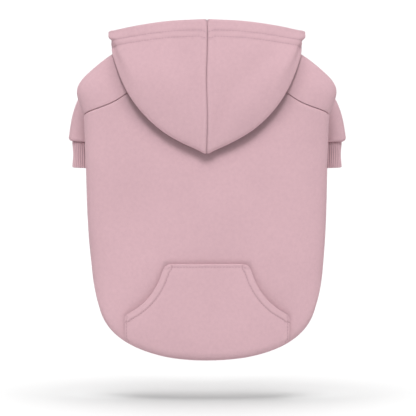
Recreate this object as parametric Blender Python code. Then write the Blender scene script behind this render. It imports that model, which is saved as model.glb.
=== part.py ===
"""A dog's hooded fleece top, hanging open as if worn, with its back towards -Y.

Metres, +Z up. The origin is the middle of the neck opening, level with the nape seam.
The back panel wraps round the flanks to a narrow belly panel, two raglan sleeves end in
ribbed cuffs on the belly side, and the two-piece hood hangs down the back as a pouch.
"""

import math

import bpy
import numpy as np
from mathutils import Matrix, Vector

MM = 0.001

# Cloth
FLEECE = 2.2 * MM
SEAM_GAP = 0.3 * MM
HEM_DOUBLING = 1.8

# Body tube
CHEST_WIDTH = 251.0 * MM
BACK_DEPTH = 42.0 * MM
BELLY_DEPTH = 45.0 * MM
BODY_LENGTH = 325.8 * MM
SECTION_SQUARENESS = 2.6

# Neck opening
NECK_SIDE_RISE = 16.4 * MM
THROAT_DROP = 17.0 * MM

# Hems
HEM_CORNER_DROP = 76.0 * MM
BELLY_HEM_RISE = 36.0 * MM
HEM_WIDTH = 16.0 * MM
HEM_CURL = 9.0 * MM

# Raglan seams and sleeves
SIDE_SEAM_ACROSS = 0.68
SEAM_BLUNT = 5.0 * MM
SLEEVE_WIDTH = 54.0 * MM
SLEEVE_DEPTH = 35.0 * MM
SLEEVE_PEEK = 18.5 * MM
SLEEVE_DROP = 107.2 * MM
SLEEVE_TURN_IN = 4.0 * MM
SLEEVE_SWELL = 1.0 * MM
BORE_RUN_OUT = 6.0 * MM

# Ribbed cuffs
CUFF_WIDTH = 47.0 * MM
CUFF_DEPTH = 29.0 * MM
CUFF_LENGTH = 27.0 * MM
CUFF_WAIST = 0.9 * MM
CUFF_WALL = 2.4 * MM
RIB_COUNT = 30
RIB_DEPTH = 0.5 * MM

# Hood
HOOD_WIDTH = 202.0 * MM
HOOD_RIM_RISE = 39.0 * MM
HOOD_HANG = 136.3 * MM
HOOD_PUFF = 20.0 * MM
HOOD_FOLD = 11.0 * MM
HOOD_ROLL = 1.6 * MM
HOOD_REST = 1.4 * MM
HOOD_RIM_BACK = 50.0 * MM
HOOD_RIM_FRONT = 43.0 * MM
HOOD_CASING = 16.0 * MM
HOOD_CLEARANCE = 0.9 * MM
HOOD_LEAN = 4.0 * MM
HOOD_SEAM_FLAT = 3.0 * MM

# Pocket
POCKET_TOP_WIDTH = 85.7 * MM
POCKET_WIDTH = 167.0 * MM
POCKET_TOP_DROP = 208.7 * MM
POCKET_SIDE_DROP = 262.5 * MM
POCKET_PUFF = 2.4 * MM
POCKET_CLEARANCE = 0.7 * MM
POCKET_HEM_CLEAR = 3.0 * MM

# The body tube from the side of the neck down to the hem: down is a share of BODY_LENGTH,
# half a share of half the chest width, back and belly shares of the two depths.
BODY_TABLE = (
    # down, half, back, belly
    (0.000, 0.550, 0.78, 0.74),
    (0.020, 0.665, 0.82, 0.79),
    (0.045, 0.785, 0.86, 0.84),
    (0.083, 0.902, 0.91, 0.91),
    (0.120, 1.012, 0.95, 0.96),
    (0.141, 1.060, 0.97, 0.98),
    (0.156, 1.072, 0.98, 0.99),
    (0.175, 1.062, 0.99, 1.00),
    (0.209, 1.026, 1.00, 1.01),
    (0.240, 1.001, 1.01, 1.01),
    (0.325, 0.997, 1.02, 1.01),
    (0.430, 0.986, 1.02, 1.00),
    (0.540, 0.974, 1.01, 0.97),
    (0.660, 0.958, 0.99, 0.93),
    (0.765, 0.939, 0.96, 0.89),
    (0.890, 0.944, 0.92, 0.85),
    (1.000, 0.950, 0.87, 0.80),
)

# The raglan seam from the nape round the flank to the throat: across is a share of the
# tube's half width there, on the back before the flank and on the belly after it, and
# down is a share of BODY_LENGTH.
RAGLAN_TABLE = (
    # side, across, down
    ("back", 0.612, 0.168),
    ("back", 0.800, 0.202),
    ("back", 1.000, 0.238),
    ("belly", 0.860, 0.262),
    ("belly", SIDE_SEAM_ACROSS, 0.273),
    ("belly", 0.580, 0.215),
)
RAGLAN_BACK_ACROSS = 0.40
RAGLAN_FRONT_ACROSS = 0.46

# The hanging hood from the middle of the back (turn 0) to the throat (turn 1): the pouch's
# lowest fold and the rim, out as a share of half the hood's width and down as a share of
# HOOD_HANG from the rim's top, and how far the cloth folds into the pouch there.
HOOD_TABLE = (
    # turn, fold_out, fold_down, rim_out, rim_down, pouch
    (0.000, 0.004, 1.000, 0.000, 0.000, 1.00),
    (0.083, 0.305, 0.897, 0.294, 0.009, 1.00),
    (0.167, 0.568, 0.771, 0.550, 0.030, 1.00),
    (0.250, 0.751, 0.623, 0.745, 0.056, 1.00),
    (0.333, 0.868, 0.453, 0.890, 0.080, 1.00),
    (0.417, 0.951, 0.295, 0.972, 0.096, 0.97),
    (0.500, 1.000, 0.175, 1.000, 0.106, 0.80),
    (0.600, 0.900, 0.230, 0.950, 0.143, 0.35),
    (0.750, 0.640, 0.330, 0.680, 0.222, 0.00),
    (1.000, 0.000, 0.370, 0.010, 0.275, 0.00),
)

# Columns of the body grid between its seams, and rows of each sheet
BACK_COLUMNS = 5
RAGLAN_BACK_COLUMNS = 12
RAGLAN_FRONT_COLUMNS = 5
BELLY_COLUMNS = 5
BACK_ROWS = 12
BELLY_ROWS = 7
SHOULDER_ROWS = 8
HEM_ROWS = (0.0, 0.25, 0.55, 1.0, 1.05)
SLEEVE_SIDES = 20
SLEEVE_ROWS = 7
POCKET_ROWS = 4
POCKET_CENTRE_COLUMNS = 4
POCKET_CURVE_COLUMNS = 8
HOOD_BACK_COLUMNS = 5
HOOD_SIDE_COLUMNS = 10
HOOD_THROAT_COLUMNS = 6
ROLL_STEPS = 3
UNDER_STEPS = 3
FOLD_STEPS = 4
OUTER_STEPS = 6

PINK = (0.66, 0.43, 0.48)
RIB_PINK = (0.60, 0.38, 0.43)


def clear_scene():
    for old in list(bpy.data.objects):
        bpy.data.objects.remove(old, do_unlink=True)


def cloth_material(name, colour, roughness):
    material = bpy.data.materials.new(name)
    material.use_nodes = True
    shader = material.node_tree.nodes["Principled BSDF"]
    shader.inputs["Base Color"].default_value = (*colour, 1.0)
    shader.inputs["Roughness"].default_value = roughness
    shader.inputs["Metallic"].default_value = 0.0
    return material


# Curves read from tables


def smooth_read(stations, values, at):
    """A smooth curve without overshoot through (stations, values), read at one place."""
    x = np.asarray(stations, float)
    y = np.asarray(values, float)
    at = float(np.clip(at, x[0], x[-1]))
    step = np.diff(x)
    rise = np.diff(y) / step
    slope = np.empty_like(y)
    slope[0] = rise[0]
    slope[-1] = rise[-1]
    for i in range(1, len(x) - 1):
        if rise[i - 1] * rise[i] <= 0:
            slope[i] = 0.0
        else:
            slope[i] = 2 * rise[i - 1] * rise[i] / (rise[i - 1] + rise[i])
    i = min(int(np.searchsorted(x, at, side="right")) - 1, len(step) - 1)
    t = (at - x[i]) / step[i]
    return float(
        y[i] * (1 + 2 * t) * (1 - t) ** 2
        + slope[i] * step[i] * t * (1 - t) ** 2
        + y[i + 1] * t * t * (3 - 2 * t)
        + slope[i + 1] * step[i] * t * t * (t - 1)
    )


def ease(share):
    """0 to 1 with level ends."""
    share = min(max(share, 0.0), 1.0)
    return share * share * (3 - 2 * share)


def bezier(points, t):
    """The point at t on the Bezier curve of two, three or four points."""
    points = [np.asarray(p, float) for p in points]
    while len(points) > 1:
        points = [a + (b - a) * t for a, b in zip(points, points[1:])]
    return points[0]


def unit_vector(v):
    return v / max(float(np.linalg.norm(v)), 1e-12)


# The body tube

HALF_CHEST = CHEST_WIDTH / 2
NECK_SIDE_Z = NECK_SIDE_RISE
HEM_Z = NECK_SIDE_RISE - BODY_LENGTH
EDGE_ROUNDING = 25.0 * MM
SECTION_SAMPLES = 720


def section_girths():
    """Angles round half a section, from the middle of the back to the middle of the belly,
    and how far round each lies, 0 to 1, counting both its length and how much it turns."""
    angles = np.linspace(0.0, math.pi, SECTION_SAMPLES + 1)
    power = 2 / SECTION_SQUARENESS
    depth = (BACK_DEPTH + BELLY_DEPTH) / 2
    x = HALF_CHEST * np.abs(np.sin(angles)) ** power
    y = -depth * np.sign(np.cos(angles)) * np.abs(np.cos(angles)) ** power
    dx = np.diff(x)
    dy = np.diff(y)
    heading = np.unwrap(np.arctan2(dy, dx))
    turning = np.abs(np.diff(heading, prepend=heading[0]))
    reach = np.concatenate([[0.0], np.cumsum(np.hypot(dx, dy) + EDGE_ROUNDING * turning)])
    return angles, reach / reach[-1]


SECTION_ANGLES, SECTION_GIRTHS = section_girths()


def section_angle(girth):
    return float(np.interp(abs(girth), SECTION_GIRTHS, SECTION_ANGLES))


def girth_at(side, across):
    """How far round the section a share of the half width lies, on the back or the belly."""
    angle = math.asin(min(across, 1.0) ** (SECTION_SQUARENESS / 2))
    if side == "belly":
        angle = math.pi - angle
    return float(np.interp(angle, SECTION_ANGLES, SECTION_GIRTHS))


def body_size(column, z):
    """One column of BODY_TABLE at height z, in metres."""
    down = (NECK_SIDE_Z - z) / BODY_LENGTH
    share = smooth_read([r[0] for r in BODY_TABLE], [r[column] for r in BODY_TABLE], down)
    return share * {1: HALF_CHEST, 2: BACK_DEPTH, 3: BELLY_DEPTH}[column]


def tube_point(girth, z):
    """A point of the tube's face: girth 0 is the middle of the back, and 1 and -1 the
    middle of the belly, on the +X and the -X side."""
    angle = section_angle(girth)
    power = 2 / SECTION_SQUARENESS
    x = body_size(1, z) * math.sin(angle) ** power * math.copysign(1.0, girth)
    depth = -body_size(2, z) if math.cos(angle) > 0 else body_size(3, z)
    return np.array([x, depth * abs(math.cos(angle)) ** power, z])


def tube_normal(girth, z):
    step = 0.004
    lift = 1.5 * MM
    round_it = tube_point(girth + step, z) - tube_point(girth - step, z)
    up_it = tube_point(girth, z + lift) - tube_point(girth, z - lift)
    return unit_vector(np.cross(round_it, up_it))


def neckline(girth):
    """The height of the neck seam: highest at the sides, lowest at the throat."""
    low = 0.0 if abs(girth) < 0.5 else -THROAT_DROP
    return NECK_SIDE_RISE + (low - NECK_SIDE_RISE) * math.cos(math.pi * girth) ** 2


def back_hem(girth):
    """The height of the long rounded back hem, which rises to the belly's side seam."""
    girth = abs(girth)
    corner = HEM_Z + HEM_CORNER_DROP
    if girth <= FLANK:
        across = math.sin(section_angle(girth)) ** (2 / SECTION_SQUARENESS)
        return corner - HEM_CORNER_DROP * max(1 - across**2.2, 0.0) ** (1 / 2.45)
    return corner + BELLY_HEM_RISE * min((girth - FLANK) / (SIDE_SEAM - FLANK), 1.0)


def belly_hem(girth):
    """The short belly hem, a shallow arch between the side seams."""
    across = (1 - abs(girth)) / (1 - SIDE_SEAM)
    return HEM_Z + HEM_CORNER_DROP + BELLY_HEM_RISE * (1 + 0.2 * (1 - across * across))


def curl(drop):
    """How far the cloth has rolled inwards at this distance above a hem."""
    turned = min(max(1 - drop / HEM_CURL, 0.0), 0.85)
    return HEM_CURL * (1 - math.sqrt(1 - turned * turned))


def body_point(girth, z, hem, out=0.0):
    """A point of the body's face, rolled inwards at its hem, or out from it."""
    step = 0.01
    along = tube_point(girth + step, z) - tube_point(girth - step, z)
    steep = (hem(girth + step) - hem(girth - step)) / max(np.linalg.norm(along), 1e-9)
    drop = (z - hem(girth)) / math.hypot(1.0, steep)
    return tube_point(girth, z) + tube_normal(girth, z) * (out - curl(drop))


FLANK = girth_at("back", 1.0)
SIDE_SEAM = girth_at("belly", SIDE_SEAM_ACROSS)
RAGLAN_BACK = girth_at("back", RAGLAN_BACK_ACROSS)
RAGLAN_FRONT = girth_at("belly", RAGLAN_FRONT_ACROSS)


def raglan_stations():
    """The raglan seam as (girth, height) pairs, ending just below the neck seam."""
    inner = [
        (girth_at(side, across), NECK_SIDE_Z - down * BODY_LENGTH)
        for side, across, down in RAGLAN_TABLE
    ]
    ends = [(g, neckline(g) - SEAM_BLUNT) for g in (RAGLAN_BACK, RAGLAN_FRONT)]
    return [ends[0], *inner, ends[1]]


RAGLAN = raglan_stations()


def raglan_seam(girth):
    return smooth_read([g for g, _ in RAGLAN], [z for _, z in RAGLAN], abs(girth))


def between(start, end, count):
    return [start + (end - start) * i / count for i in range(count + 1)]


def join(*runs):
    """Runs of numbers end to end, with each shared end kept once."""
    joined = list(runs[0])
    for run in runs[1:]:
        joined += list(run)[1:]
    return joined


def mirrored(columns):
    """Columns from the middle outwards, made whole on both sides of the middle."""
    return [-c for c in reversed(columns[1:])] + list(columns)


# Sheets and tubes


def sheet(name, grid, material, doubled=None, reverse=False, even=True):
    """A wall of cloth from the grid of its face: columns that run upwards, in order round
    the body from -X past -Y to +X, or in reverse. It is FLEECE thick, and thicker on the
    inside at its doubled points, a grid of shares from 0 to 1."""
    rows = len(grid)
    columns = len(grid[0])
    points = [tuple(p) for row in grid for p in row]
    faces = []
    for i in range(rows - 1):
        for j in range(columns - 1):
            a = i * columns + j
            quad = (a, a + columns, a + columns + 1, a + 1)
            faces.append(quad[::-1] if reverse else quad)
    mesh = bpy.data.meshes.new(name)
    mesh.from_pydata(points, [], faces)
    mesh.materials.append(material)
    made = bpy.data.objects.new(name, mesh)
    bpy.context.scene.collection.objects.link(made)
    wall = made.modifiers.new("wall", "SOLIDIFY")
    wall.offset = -1.0
    wall.use_even_offset = even
    wall.thickness = FLEECE
    if doubled is not None:
        group = made.vertex_groups.new(name="doubled")
        shares = [share for row in doubled for share in row]
        for i, share in enumerate(shares):
            group.add([i], share, "REPLACE")
        wall.thickness = FLEECE * HEM_DOUBLING
        wall.vertex_group = "doubled"
        wall.thickness_vertex_group = 1 / HEM_DOUBLING
    mesh.shade_smooth()
    return made


def loft(name, loops, material=None, ring=False):
    """Closed loops skinned in order: a capped tube, or a ring where the last meets the
    first."""
    count = len(loops[0])
    points = [tuple(p) for loop in loops for p in loop]
    faces = []
    spans = len(loops) if ring else len(loops) - 1
    for i in range(spans):
        below = i * count
        above = ((i + 1) % len(loops)) * count
        for j in range(count):
            k = (j + 1) % count
            faces.append((below + j, below + k, above + k, above + j))
    if not ring:
        faces.append(tuple(reversed(range(count))))
        faces.append(tuple(range((len(loops) - 1) * count, len(loops) * count)))
    mesh = bpy.data.meshes.new(name)
    mesh.from_pydata(points, [], faces)
    if material:
        mesh.materials.append(material)
    made = bpy.data.objects.new(name, mesh)
    bpy.context.scene.collection.objects.link(made)
    mesh.shade_smooth()
    return made


def as_cutter(made):
    made.hide_render = True
    made.display_type = "WIRE"
    return made


def boolean(made, cutter, operation):
    modifier = made.modifiers.new(operation.lower(), "BOOLEAN")
    modifier.operation = operation
    modifier.solver = "EXACT"
    modifier.object = cutter


# Body panels


def column_rows(low, high, count, hem_run):
    """Heights up one column: close together in the hem, then evenly spaced."""
    rows = [low + share * hem_run for share in HEM_ROWS] if hem_run else [low]
    return join(rows, between(rows[-1], high, count))


def hem_doubling(heights, hem_run):
    """1 in the turned-up hem and 0 above it."""
    edge = heights[0] + hem_run * 1.02
    return [1.0 if z < edge else 0.0 for z in heights]


def back_panel(material):
    """The back, from the nape and the raglan seams to the rounded hem, round both flanks."""
    seam_half = SEAM_GAP / (2 * HALF_CHEST)
    half = join(
        between(0.0, RAGLAN_BACK, BACK_COLUMNS),
        between(RAGLAN_BACK, SIDE_SEAM - seam_half, RAGLAN_BACK_COLUMNS),
    )
    grid = []
    doubled = []
    for girth in mirrored(half):
        top = neckline(girth)
        if abs(girth) > RAGLAN_BACK - 1e-6:
            top = raglan_seam(girth) - SEAM_GAP
        heights = column_rows(back_hem(girth), top, BACK_ROWS, HEM_WIDTH)
        grid.append([body_point(girth, z, back_hem) for z in heights])
        doubled.append(hem_doubling(heights, HEM_WIDTH))
    return sheet("back_panel", grid, material, doubled)


def belly_panel(material):
    """The narrow underside panel between the side seams, from the throat to its hem."""
    seam_half = SEAM_GAP / (2 * HALF_CHEST)
    half = join(
        between(0.0, 1 - RAGLAN_FRONT, BELLY_COLUMNS),
        between(1 - RAGLAN_FRONT, 1 - SIDE_SEAM - seam_half, RAGLAN_FRONT_COLUMNS),
    )
    grid = []
    doubled = []
    for offset in mirrored(half):
        girth = math.copysign(1 - abs(offset), offset)
        top = neckline(girth)
        if abs(girth) < RAGLAN_FRONT + 1e-6:
            top = raglan_seam(girth) - SEAM_GAP
        heights = column_rows(belly_hem(girth), top, BELLY_ROWS, HEM_WIDTH)
        grid.append([body_point(girth, z, belly_hem) for z in heights])
        doubled.append(hem_doubling(heights, HEM_WIDTH))
    return sheet("belly_panel", grid, material, doubled, reverse=True)


# Sleeves

SLEEVE_END_Z = NECK_SIDE_Z - SLEEVE_DROP
SLEEVE_END_X = HALF_CHEST + SLEEVE_PEEK - SLEEVE_WIDTH / 2
SLEEVE_END_Y = 0.89 * BELLY_DEPTH + SLEEVE_DEPTH / 2


def sleeve_path():
    """Four guide points of the right leg tube's middle, out of the shoulder and then down."""
    end = np.array([SLEEVE_END_X, SLEEVE_END_Y, SLEEVE_END_Z])
    root = np.array([0.70 * HALF_CHEST, 0.04 * BELLY_DEPTH, 0.34 * SLEEVE_END_Z])
    outwards = np.array([0.28, 0.90, -0.18]) * 0.30 * SLEEVE_DROP
    return [root, root + outwards, end + np.array([0.0, 0.0, 0.30 * SLEEVE_DROP]), end]


def path_frame(t):
    """The place at t along the sleeve's path, and the directions along it and across it."""
    path = sleeve_path()
    along = unit_vector(bezier(path, t + 0.01) - bezier(path, t - 0.01))
    wide = unit_vector(np.array([1.0, 0.0, 0.0]) - along[0] * along)
    return bezier(path, t), along, wide, np.cross(along, wide)


def sleeve_loop(t, half_width, half_depth, beyond=0.0):
    """One section of the leg tube, square to its path."""
    centre, along, wide, deep = path_frame(t)
    loop = []
    for i in range(SLEEVE_SIDES):
        angle = 2 * math.pi * (i + 0.5) / SLEEVE_SIDES
        across = wide * half_width * math.cos(angle) + deep * half_depth * math.sin(angle)
        loop.append(centre + along * beyond + across)
    return loop


def sleeve_loops(inset, start, beyond):
    """Sections from inside the shoulder to the cuff seam, where the edge turns in. A bore
    is inset by its wall and runs on beyond the end."""
    half_width = SLEEVE_WIDTH / 2 - inset
    half_depth = SLEEVE_DEPTH / 2 - inset
    turn_in = SLEEVE_TURN_IN / SLEEVE_DROP
    loops = []
    for t in between(start, 1 - turn_in, SLEEVE_ROWS):
        root = 1 + 0.10 * (1 - t)
        loops.append(sleeve_loop(t, half_width * root, half_depth * root))
    swell = SLEEVE_SWELL
    loops.append(sleeve_loop(1 - turn_in / 2, half_width + swell, half_depth + swell))
    end = (CUFF_WIDTH / 2 + swell - inset, CUFF_DEPTH / 2 + swell - inset)
    loops.append(sleeve_loop(1.0, *end))
    if beyond:
        loops.append(sleeve_loop(1.0, *end, beyond=beyond))
    return loops


def shoulder_grid():
    """The sleeve's shoulder part, on the body tube above the raglan seam."""
    girths = join(
        between(RAGLAN_BACK, SIDE_SEAM, RAGLAN_BACK_COLUMNS),
        between(SIDE_SEAM, RAGLAN_FRONT, RAGLAN_FRONT_COLUMNS),
    )
    grid = []
    for girth in girths:
        heights = between(raglan_seam(girth), neckline(girth), SHOULDER_ROWS)
        grid.append([tube_point(girth, z) for z in heights])
    return grid


def shoulder_room():
    """The room inside the shoulders, out to the middle of their wall, which trims the root
    of the leg tube."""
    girths = between(-1.0, 1.0, 44)[:-1]
    loops = []
    for z in between(-1.15 * SLEEVE_DROP, NECK_SIDE_Z - 1 * MM, 16):
        loops.append([tube_point(g, z) - tube_normal(g, z) * FLEECE / 2 for g in girths])
    return as_cutter(loft("shoulder_room", loops))


def right_sleeve(name, material):
    """One raglan sleeve: the shoulder part and its leg tube as one hollow piece."""
    made = sheet(name, shoulder_grid(), material)
    tube = as_cutter(loft("leg_tube", sleeve_loops(0.0, 0.0, 0.0)))
    bore = as_cutter(loft("leg_bore", sleeve_loops(FLEECE, -0.06, BORE_RUN_OUT)))
    boolean(tube, shoulder_room(), "DIFFERENCE")
    boolean(made, tube, "UNION")
    boolean(made, bore, "DIFFERENCE")
    return made


def mirrored_copy(source, name):
    """The finished shape of a piece on the +X side, mirrored for the -X side."""
    whole = source.evaluated_get(bpy.context.evaluated_depsgraph_get())
    mesh = bpy.data.meshes.new_from_object(whole)
    mesh.name = name
    mesh.transform(Matrix.Scale(-1.0, 4, Vector((1.0, 0.0, 0.0))))
    mesh.flip_normals()
    made = bpy.data.objects.new(name, mesh)
    bpy.context.scene.collection.objects.link(made)
    return made


# Cuffs


def right_cuff(name, material):
    """A ribbed band below the sleeve, drawn in at its middle."""
    end, along, wide, deep = path_frame(1.0)
    walls = [(0.0, down) for down in (0.0, 0.5, 1.0)]
    walls += [(CUFF_WALL, down) for down in (1.0, 0.5, 0.0)]
    loops = []
    for inset, down in walls:
        pull = inset + CUFF_WAIST * math.sin(math.pi * down)
        loop = []
        for i in range(2 * RIB_COUNT):
            angle = math.pi * i / RIB_COUNT
            groove = RIB_DEPTH * (i % 2)
            shrink = pull + (-groove if inset else groove)
            across = wide * (CUFF_WIDTH / 2 - shrink) * math.cos(angle)
            across += deep * (CUFF_DEPTH / 2 - shrink) * math.sin(angle)
            loop.append(end + along * (SEAM_GAP + CUFF_LENGTH * down) + across)
        loops.append(loop)
    return loft(name, loops, material, ring=True)


# Hood


def hood_read(column, turn):
    return smooth_read([r[0] for r in HOOD_TABLE], [r[column] for r in HOOD_TABLE], turn)


def rest_depth(x, z):
    """How far towards -Y the hood lies on the back at this place of the front view, with
    more room where the back slopes away."""
    z = min(z, NECK_SIDE_Z)
    across = min(abs(x) / body_size(1, z), 0.90)
    depth = body_size(2, z) * (1 - across**SECTION_SQUARENESS) ** (1 / SECTION_SQUARENESS)
    return depth + HOOD_REST * (1 + 1.5 * across * across)


def hood_rim(turn):
    """The rim's edge: nearly level from corner to corner, then lower round the throat."""
    around = math.cos(math.pi * turn)
    reach = HOOD_RIM_BACK if around > 0 else HOOD_RIM_FRONT
    return np.array(
        [
            hood_read(3, turn) * HOOD_WIDTH / 2,
            -reach * math.copysign(abs(around) ** 0.8, around),
            HOOD_RIM_RISE - hood_read(4, turn) * HOOD_HANG,
        ]
    )


def hood_fold(turn):
    """The pouch's fold: its middle, its half width, the way it points and the way from the
    layer under it to the layer over it. It points down on the back, and sideways at the
    corners, where it leaves the body to meet the rim."""
    x = hood_read(1, turn) * HOOD_WIDTH / 2
    z = HOOD_RIM_RISE - hood_read(2, turn) * HOOD_HANG
    sideways = ease(2 * turn)
    half = HOOD_FOLD / 2 * (1 - 0.45 * ease((turn - 0.30) / 0.20))
    points = unit_vector(np.array([sideways, 0.0, sideways * 0.7 - 1.0]))
    over = unit_vector(np.array([0.0, sideways * 0.6 - 1.0, 0.9 * sideways]))
    laid = -rest_depth(x, z) - half
    free = hood_rim(turn)[1] - half
    y = laid + (free - laid) * ease((turn - 0.40) / 0.12)
    return np.array([x, y, z]) - points * half, half, points, over


def hood_collar(seam, rim, outwards, t):
    """The collar that stands round the throat, leaning outwards."""
    return seam + (rim - seam) * t + outwards * HOOD_LEAN * math.sin(math.pi * t)


def hood_profile(turn):
    """The outside of one hood half up one line: over the neck seam, down the back, round
    the pouch's fold and up to the rim. At the throat it is only the collar."""
    seam = tube_point(turn, neckline(turn)) + np.array([0.0, 0.0, HOOD_CLEARANCE])
    outwards = tube_normal(turn, neckline(turn)) * np.array([1.0, 1.0, 0.0])
    outwards = unit_vector(outwards)
    rim = hood_rim(turn)
    middle, half_fold, points, over = hood_fold(turn)
    up = np.array([0.0, 0.0, 1.0])
    line = []
    for t in between(0.0, math.pi, ROLL_STEPS):
        line.append(seam + (outwards * (1 - math.cos(t)) + up * 1.6 * math.sin(t)) * HOOD_ROLL)
    roll_end = line[-1]
    under_end = middle - over * half_fold
    for t in between(0.0, 1.0, UNDER_STEPS)[1:]:
        point = roll_end + (under_end - roll_end) * t
        laid = -rest_depth(point[0], point[2])
        point[1] += (laid - point[1]) * ease(2.5 * t) * ease(2.5 * (1 - t))
        line.append(point)
    for t in between(-math.pi / 2, math.pi / 2, FOLD_STEPS)[1:]:
        line.append(middle + (points * math.cos(t) + over * math.sin(t)) * half_fold)
    swell = np.array([0.0, HOOD_FOLD - HOOD_PUFF, 0.0]) * ease(1.6 - 2.4 * turn)
    rise = rim - line[-1]
    guide = [
        line[-1],
        line[-1] + 0.35 * rise * np.array([1.0, 0.0, 1.0]) + 1.3 * swell,
        rim - 0.35 * rise * np.array([1.0, 0.0, 1.0]) + 0.7 * swell,
        rim,
    ]
    line += [bezier(guide, t) for t in between(0.0, 1.0, OUTER_STEPS)[1:]]
    pouch = ease(hood_read(5, turn))
    collar = [hood_collar(seam, rim, outwards, t) for t in between(0.0, 1.0, len(line) - 1)]
    return [upright + (laid - upright) * pouch for upright, laid in zip(collar, line)]


def hood_casing(profile):
    """1 in the turned-in casing along the rim and 0 elsewhere."""
    shares = [1.0]
    run = 0.0
    for a, b in zip(reversed(profile), list(reversed(profile))[1:]):
        run += float(np.linalg.norm(a - b))
        shares.append(1.0 if run < HOOD_CASING else 0.0)
    return list(reversed(shares))


def hood_seam(turn):
    """The first two columns beside a seam on the middle: flat, so the halves just meet."""
    profiles = [hood_profile(turn), hood_profile(turn)]
    for profile, x in zip(profiles, (SEAM_GAP / 2, HOOD_SEAM_FLAT / 2)):
        for point in profile:
            point[0] = x
    return profiles


def hood_half(side, name, material):
    """One half of the hood, from the seam over its middle to the throat."""
    flat = HOOD_SEAM_FLAT / HOOD_WIDTH
    turns = join(
        between(flat, RAGLAN_BACK, HOOD_BACK_COLUMNS),
        between(RAGLAN_BACK, SIDE_SEAM, HOOD_SIDE_COLUMNS),
        between(SIDE_SEAM, 1 - flat, HOOD_THROAT_COLUMNS),
    )
    profiles = [*hood_seam(0.0), *map(hood_profile, turns), *reversed(hood_seam(1.0))]
    grid = [[p * np.array([side, 1.0, 1.0]) for p in profile] for profile in profiles]
    doubled = [hood_casing(profile) for profile in profiles]
    return sheet(name, grid, material, doubled, reverse=side < 0, even=False)


# Pocket


def pocket_columns():
    """(across, top) down one side of the pocket: its straight top, then the curved hand
    opening, which ends at the short side seam."""
    top_z = -POCKET_TOP_DROP
    side_z = -POCKET_SIDE_DROP
    top_half = POCKET_TOP_WIDTH / 2
    half = POCKET_WIDTH / 2
    straight = [(x, top_z) for x in between(0.0, top_half, POCKET_CENTRE_COLUMNS)]
    guide = [
        (top_half, top_z),
        (top_half + 0.19 * (half - top_half), top_z + 0.71 * (side_z - top_z)),
        (half, side_z),
    ]
    curve = [tuple(bezier(guide, t)) for t in between(0.0, 1.0, POCKET_CURVE_COLUMNS)]
    return join(straight, curve)


def pocket(material):
    """The pouch pocket on the lower back, closed at its top, sides and hem, and open along
    its two curved edges."""
    half = POCKET_WIDTH / 2
    right = pocket_columns()
    both = [(-x, z) for x, z in reversed(right[1:])] + right
    top_half = POCKET_TOP_WIDTH / 2
    grid = []
    for x, top in both:
        side = math.copysign(1.0, x)
        girth = side * girth_at("back", abs(x) / body_size(1, top))
        low = back_hem(girth) + POCKET_HEM_CLEAR
        hem_top = back_hem(girth) + 1.2 * HEM_CURL
        heights = join([low, (low + hem_top) / 2, hem_top], between(hem_top, top, POCKET_ROWS))
        opening = min(max((abs(x) - top_half) / (half - top_half), 0.0), 1.0)
        gape = math.sin(math.pi * opening)
        row = []
        for z in heights:
            up = (z - low) / (top - low)
            swell = math.sin(math.pi * up) * (1 - (x / half) ** 4) + gape * up * 0.6
            out = POCKET_CLEARANCE + FLEECE + POCKET_PUFF * swell
            row.append(body_point(girth, z, back_hem, out))
        grid.append(row)
    return sheet("pocket", grid, material)


def build():
    clear_scene()
    fleece = cloth_material("fleece", PINK, 0.92)
    ribbing = cloth_material("ribbing", RIB_PINK, 0.95)
    back_panel(fleece)
    belly_panel(fleece)
    mirrored_copy(right_sleeve("sleeve_right", fleece), "sleeve_left")
    mirrored_copy(right_cuff("cuff_right", ribbing), "cuff_left")
    hood_half(-1, "hood_left", fleece)
    hood_half(1, "hood_right", fleece)
    pocket(fleece)


build()
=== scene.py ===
"""Dresses the frame of a dog hoodie: fleece panels with sewn seams, stitches and ribbed cuffs,
and a plain studio round them. Metres, with the back of the hoodie towards -Y."""

import math

import bmesh
import bpy
import numpy as np
from bpy.props import FloatProperty, FloatVectorProperty, IntProperty, PointerProperty
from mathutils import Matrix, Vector
from mathutils.bvhtree import BVHTree
from mathutils.kdtree import KDTree


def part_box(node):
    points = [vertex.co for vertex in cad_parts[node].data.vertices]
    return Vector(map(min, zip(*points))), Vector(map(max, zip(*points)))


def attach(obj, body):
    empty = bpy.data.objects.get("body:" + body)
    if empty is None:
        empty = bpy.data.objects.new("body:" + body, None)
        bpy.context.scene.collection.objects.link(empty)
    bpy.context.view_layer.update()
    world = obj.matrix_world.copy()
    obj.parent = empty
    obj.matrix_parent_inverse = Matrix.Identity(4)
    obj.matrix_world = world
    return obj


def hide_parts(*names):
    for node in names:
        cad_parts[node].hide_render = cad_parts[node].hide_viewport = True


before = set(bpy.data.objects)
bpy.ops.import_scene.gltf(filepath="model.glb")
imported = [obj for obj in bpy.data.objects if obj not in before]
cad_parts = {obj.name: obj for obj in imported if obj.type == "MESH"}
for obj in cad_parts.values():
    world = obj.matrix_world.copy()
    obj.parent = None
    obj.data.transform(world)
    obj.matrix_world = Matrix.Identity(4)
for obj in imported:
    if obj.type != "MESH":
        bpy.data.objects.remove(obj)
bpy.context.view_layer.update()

bl_info = {
    "name": "Dog hoodie",
    "version": (1, 0, 0),
    "blender": (4, 5, 0),
    "location": "3D View > Sidebar > Dog hoodie",
    "description": "Fleece panels, seams, stitches and ribbed cuffs of a dog hoodie, and its studio",
    "category": "Object",
}

MM = 0.001

# A cut edge turns more than this from the face of the cloth, and a fold turns less
CUT_EDGE_TURN = math.radians(76)
CUT_EDGE_DEPTH = 5.5 * MM
# The two creases leave a cut edge crisp and round it off by about half a millimetre
FIRST_CREASE = 0.7
LAST_CREASE = 0.55
FACE, LINING, CUT = 0, 1, 2
# Name of the point attribute that holds painted shade
PAINTED_SHADE = "pressed"
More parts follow.
